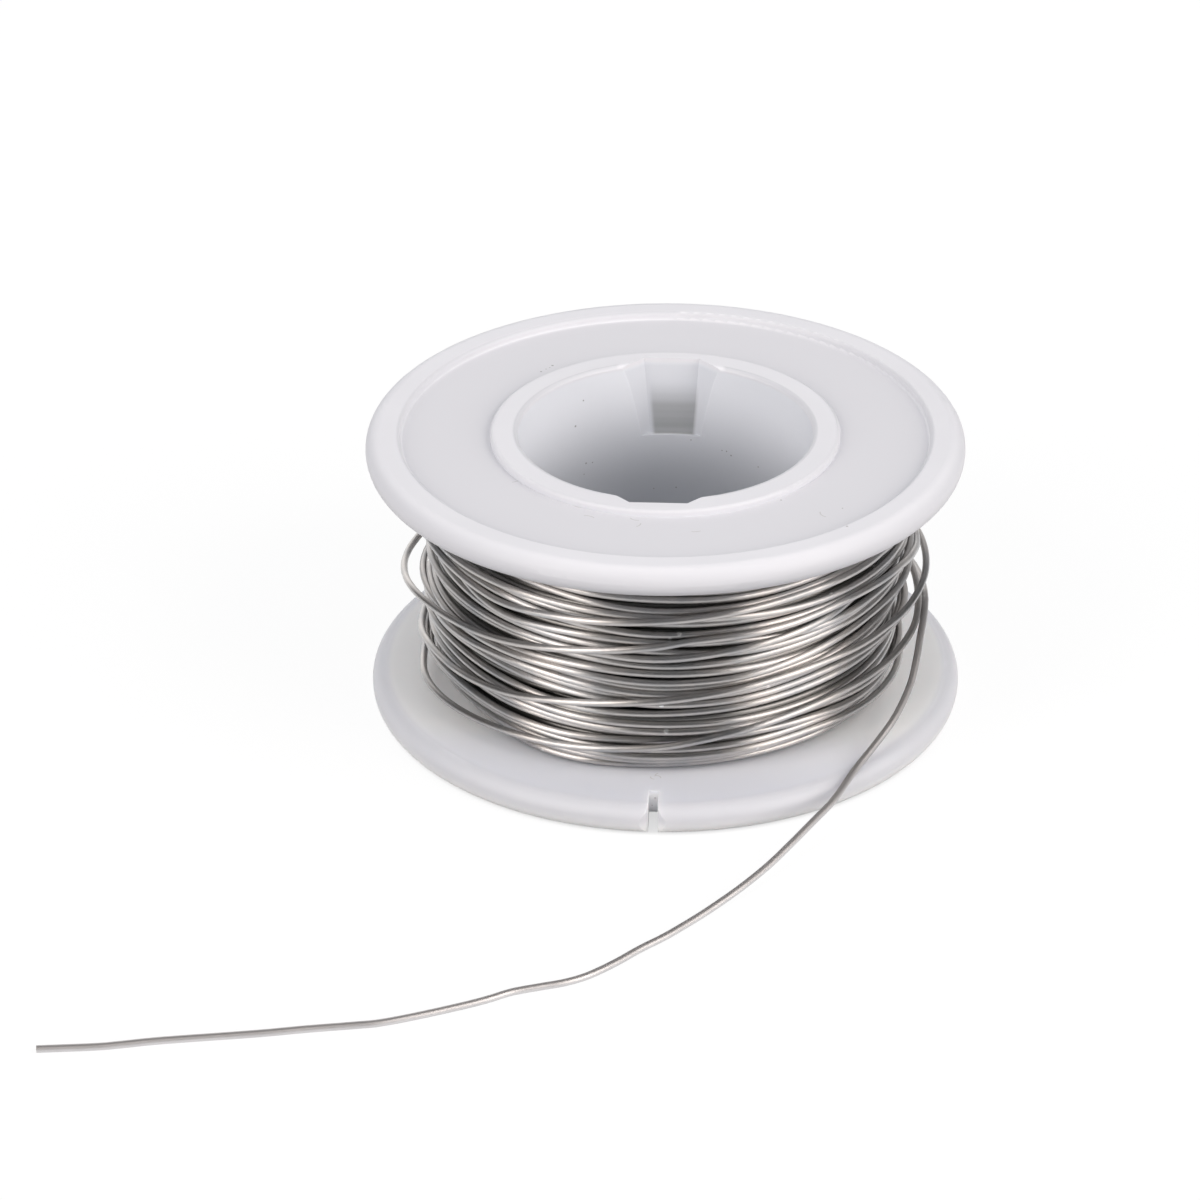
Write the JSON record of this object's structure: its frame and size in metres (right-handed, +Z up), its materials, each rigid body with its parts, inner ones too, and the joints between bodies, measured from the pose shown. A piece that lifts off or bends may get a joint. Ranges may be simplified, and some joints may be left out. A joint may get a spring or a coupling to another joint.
{
  "type": "solder wire spool",
  "caption": "Small white moulded reel with a keyed bore, wound with fine grey solder wire whose free end runs over the lower rim and along the table.",
  "frame": {"origin": "centre of the lower flange's face, on the table, on the reel's axis; the wire's free end is left out of this", "axes": "+Z up along the reel's axis; the two keyways lie on +Y and -Y, and the slit in the lower rim on -Y; the free end leaves the winding on the +X side and runs forward to -Y and then to -X"},
  "size_m": [0.0704, 0.0832, 0.0246],
  "materials": {
    "white_plastic": "satin moulded polypropylene, slightly translucent",
    "solder": "drawn tin alloy wire, dull silver",
    "rosin_flux": "amber rosin"
  },
  "bodies": {
    "root": {"barrel": "white_plastic", "upper_flange": "white_plastic", "lower_flange": "white_plastic", "inner_winding": "solder", "outer_winding": "solder", "wire_tail": "solder", "flux_core": "rosin_flux"}
  },
  "joints": []
}
